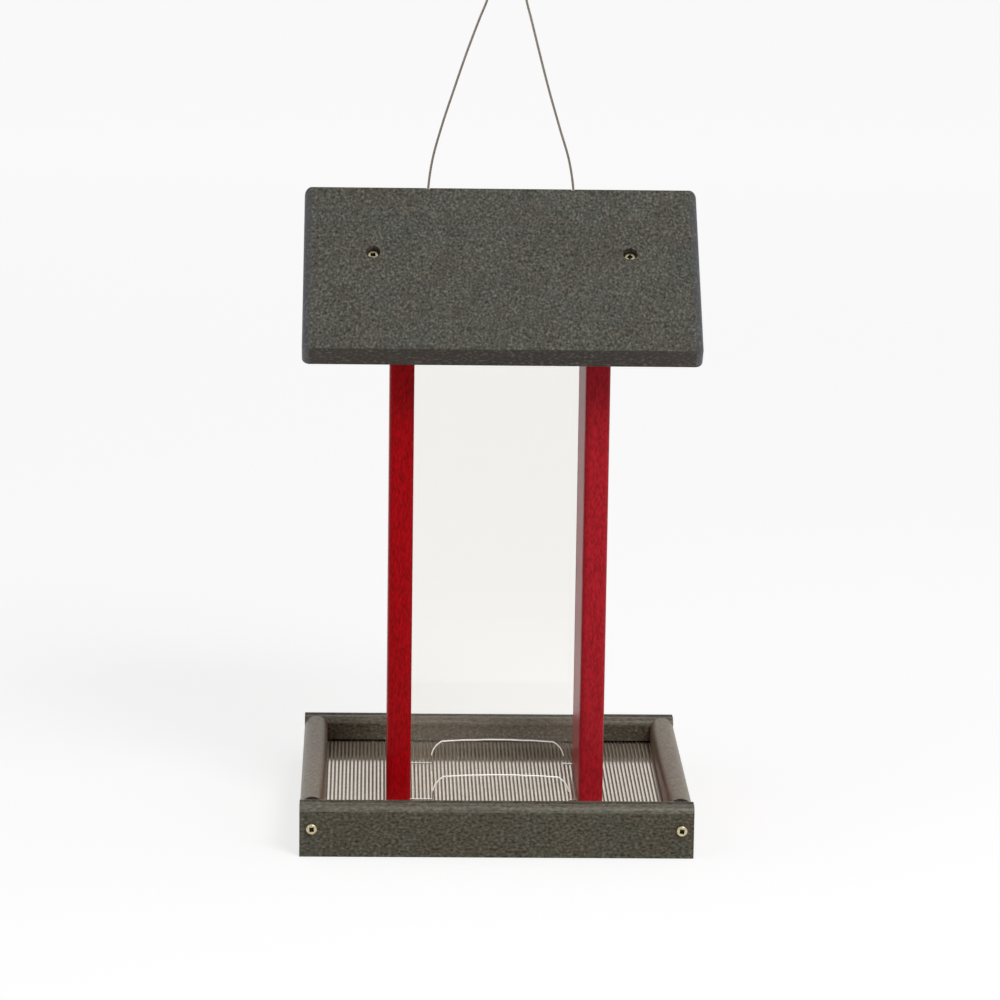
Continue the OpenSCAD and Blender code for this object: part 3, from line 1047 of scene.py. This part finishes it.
class FEEDER_OT_hanging_cable(bpy.types.Operator):
    """Stranded wire rope: a bail over the roof and two tails down to the end boards"""

    bl_idname = "feeder.hanging_cable"
    bl_label = "Hanging cable"

    def execute(self, context):
        rope = context.scene.feeder_rope
        line, run = route_line()
        inside = [i for i, p in enumerate(line) if p.y < SEAM_Z]
        left_end = max(i for i in inside if line[i].x < 0) + 1
        right_start = min(i for i in inside if line[i].x > 0) - 1
        stretches = (("left_cable_tail", 0, left_end), ("bail", left_end, right_start),
                     ("right_cable_tail", right_start, len(line) - 1))
        for name, first, last in stretches:
            path, reached = line[first:last + 1], run[first:last + 1]
            piece = dress(stranded(name, path, reached, rope), rope_wire())
            select_only(piece)
            bpy.ops.object.shade_smooth_by_angle(angle=math.radians(60))
            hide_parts("hanging_cable")
            if name == "bail":
                # the bail's top stays where it is held while the roof rises along the rope
                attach(piece, "roof")
                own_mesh(piece)
            else:
                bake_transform(piece)
        return {"FINISHED"}


class FEEDER_OT_cable_stops(bpy.types.Operator):
    """Crimped sleeves that stop the rope outside the end boards"""

    bl_idname = "feeder.cable_stops"
    bl_label = "Cable stops"

    def execute(self, context):
        rope = context.scene.feeder_rope
        for node in ("left_cable_stop", "right_cable_stop"):
            low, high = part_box(node)
            middle = middle_of(node)
            sleeve = rod(node + "_crimped", (high.z - low.z) / 2, high.x - low.x, 32,
                         (low.x, middle.y, middle.z), (1, 0, 0))
            cut_edges(sleeve, lambda p: abs(p[0].x - p[1].x) > 1 * MM, 11)
            round_edges(sleeve, lambda p: all(v.x < low.x + NEAR for v in p)
                        or all(v.x > high.x - NEAR for v in p), 0.5 * MM, 3)
            for vertex in sleeve.data.vertices:
                # two bites of the crimping tool flatten the sleeve front and back
                share = (vertex.co.x - low.x) / (high.x - low.x)
                bite = max(0.0, math.sin(2 * math.pi * share) ** 2) if 0.08 < share < 0.92 else 0.0
                vertex.co.y *= 1 - 0.22 * bite
            carve(sleeve, rod("bore", rope.diameter / 2 + 0.05 * MM, 20 * MM, 24,
                              (middle.x - 10 * MM, 0, middle.z), (1, 0, 0)))
            hand_over(dress(sleeve, crimp_metal()), node)
        return {"FINISHED"}


# ---------------------------------------------------------------- the stage


HOPPER_MIDDLE = 0.25     # height in metres that the lamps are turned to
# The camera's place in metres, its pitch, yaw and roll in degrees, and its lens in
# millimetres on a sensor 36 mm wide
CAMERA_PLACE = (-0.0821, -2.8452, 0.8432)
CAMERA_TURN = (12.53, 1.70, 0.81)
CAMERA_LENS = 159.37
# Strengths of the floor and the room: as light on the feeder, and as seen by the camera, in a
# mirror or through a pane
FLOOR_GLOW = (0.27, 0.69)
ROOM_GLOW = (0.5, 0.98)
DIM_ROOM = 0.2           # strength of the room in front of the table, which only mirrors see


class FEEDER_OT_stage(bpy.types.Operator):
    """Pale floor, soft light and the camera"""

    bl_idname = "feeder.stage"
    bl_label = "Floor, light and camera"

    def execute(self, context):
        self.lay_floor(context)
        self.light(context)
        self.aim(context)
        return {"FINISHED"}

    def lay_floor(self, context):
        clear_selection()
        bpy.ops.mesh.primitive_plane_add(size=40, location=(0, 0, 0))
        floor = bpy.context.object
        floor.name = "floor"
        material, tree = new_material("Pale floor")
        path = add(tree, "LightPath")
        seen = self.seen_directly(tree, path)
        lit = add(tree, "MapRange", {
            "Value": seen, "To Min": FLOOR_GLOW[0], "To Max": FLOOR_GLOW[1]})
        diffuse = add(tree, "BsdfDiffuse", {"Color": rgba(context.scene.feeder_finish.floor)})
        place = add(tree, "TexCoord").outputs["Object"]
        depth = add(tree, "SeparateXYZ", {"Vector": place}).outputs["Y"]
        # the floor rises into a backdrop, which is lit from nearer by
        rise = add(tree, "MapRange", {
            "Value": depth, "From Min": 0.2, "From Max": 3.0, "To Min": 1.0, "To Max": 1.1})
        strength = add(tree, "Math", {0: lit, 1: rise}, operation="MULTIPLY")
        glow = add(tree, "Emission", {"Strength": strength})
        table = add(tree, "AddShader", {0: diffuse, 1: glow})
        # the table ends in front of the feeder, so what faces forward mirrors a dim room
        front = add(tree, "MapRange", {
            "Value": depth, "From Min": -0.6, "From Max": -0.2, "To Min": 1.0, "To Max": 0.0})
        mirrored = add(tree, "Math", {
            0: front, 1: path.outputs["Is Glossy Ray"]}, operation="MULTIPLY")
        room = add(tree, "Emission", {"Strength": DIM_ROOM})
        both = add(tree, "MixShader", {0: mirrored, 1: table, 2: room})
        add(tree, "OutputMaterial", {"Surface": both})
        dress(floor, material)

    def seen_directly(self, tree, path):
        """1 for rays from the camera, a mirror or a pane, and 0 for light on the feeder."""
        seen = path.outputs["Is Camera Ray"]
        for ray in ("Is Glossy Ray", "Is Transmission Ray"):
            seen = add(tree, "Math", {0: seen, 1: path.outputs[ray]}, operation="MAXIMUM")
        return seen

    def light(self, context):
        world = bpy.data.worlds.new("Pale room")
        context.scene.world = world
        world.use_nodes = True
        tree = world.node_tree
        tree.nodes.clear()
        seen = self.seen_directly(tree, add(tree, "LightPath"))
        level = add(tree, "MapRange", {
            "Value": seen, "To Min": ROOM_GLOW[0], "To Max": ROOM_GLOW[1]})
        sky = add(tree, "Background", {"Strength": level})
        add(tree, "OutputWorld", {"Surface": sky})
        for name, place, size, watts in (
                ("softbox_front", (0.85, -1.45, 1.75), 0.9, 20.0),
                ("softbox_left", (-1.3, -0.6, 1.2), 0.8, 1.0)):
            bpy.ops.object.light_add(type="AREA", location=place)
            lamp = bpy.context.object
            lamp.name = name
            lamp.data.size = size
            lamp.data.energy = watts
            beam = Vector((0, 0, HOPPER_MIDDLE)) - Vector(place)
            lamp.rotation_euler = beam.to_track_quat("-Z", "Y").to_euler()

    def aim(self, context):
        pitch, yaw, roll = (math.radians(angle) for angle in CAMERA_TURN)
        flat = math.cos(pitch)
        ahead = Vector((math.sin(yaw) * flat, math.cos(yaw) * flat, -math.sin(pitch)))
        level = ahead.cross(Vector((0, 0, 1))).normalized()
        up = level.cross(ahead)
        right = level * math.cos(roll) + up * math.sin(roll)
        top = up * math.cos(roll) - level * math.sin(roll)
        bpy.ops.object.camera_add()
        camera = bpy.context.object
        camera.data.sensor_width = 36.0
        camera.data.lens = CAMERA_LENS
        camera.data.clip_end = 100.0
        turn = Matrix((right, top, -ahead)).transposed().to_4x4()
        camera.matrix_world = Matrix.Translation(CAMERA_PLACE) @ turn
        context.scene.camera = camera
        context.scene.view_settings.view_transform = "Standard"


class FEEDER_PT_panel(bpy.types.Panel):
    """Lists the feeder's pieces"""

    bl_idname = "FEEDER_PT_panel"
    bl_label = "Hopper feeder"
    bl_space_type = "VIEW_3D"
    bl_region_type = "UI"
    bl_category = "Feeder"

    def draw(self, context):
        for name, group in GROUPS.items():
            box = self.layout.box()
            for prop in group.__annotations__:
                box.prop(getattr(context.scene, name), prop)
        for operator in OPERATORS:
            self.layout.operator(operator.bl_idname)


OPERATORS = (
    FEEDER_OT_stage,
    FEEDER_OT_cable_stops,
    FEEDER_OT_hanging_cable,
    FEEDER_OT_tray_boards,
    FEEDER_OT_side_rails,
    FEEDER_OT_floor_screen,
    FEEDER_OT_end_boards,
    FEEDER_OT_panes,
    FEEDER_OT_roof_panels,
    FEEDER_OT_gable_cleats,
    FEEDER_OT_corner_screws,
    FEEDER_OT_roof_screws,
    FEEDER_OT_floor_screws,
)


def register():
    for cls in (*GROUPS.values(), *OPERATORS, FEEDER_PT_panel):
        bpy.utils.register_class(cls)
    for name, group in GROUPS.items():
        setattr(bpy.types.Scene, name, bpy.props.PointerProperty(type=group))


def unregister():
    for name in GROUPS:
        delattr(bpy.types.Scene, name)
    for cls in (FEEDER_PT_panel, *reversed(OPERATORS), *reversed(list(GROUPS.values()))):
        bpy.utils.unregister_class(cls)


def main():
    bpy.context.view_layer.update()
    register()
    for operator in OPERATORS:
        group, name = operator.bl_idname.split(".")
        getattr(getattr(bpy.ops, group), name)()


if __name__ == "__main__":
    main()
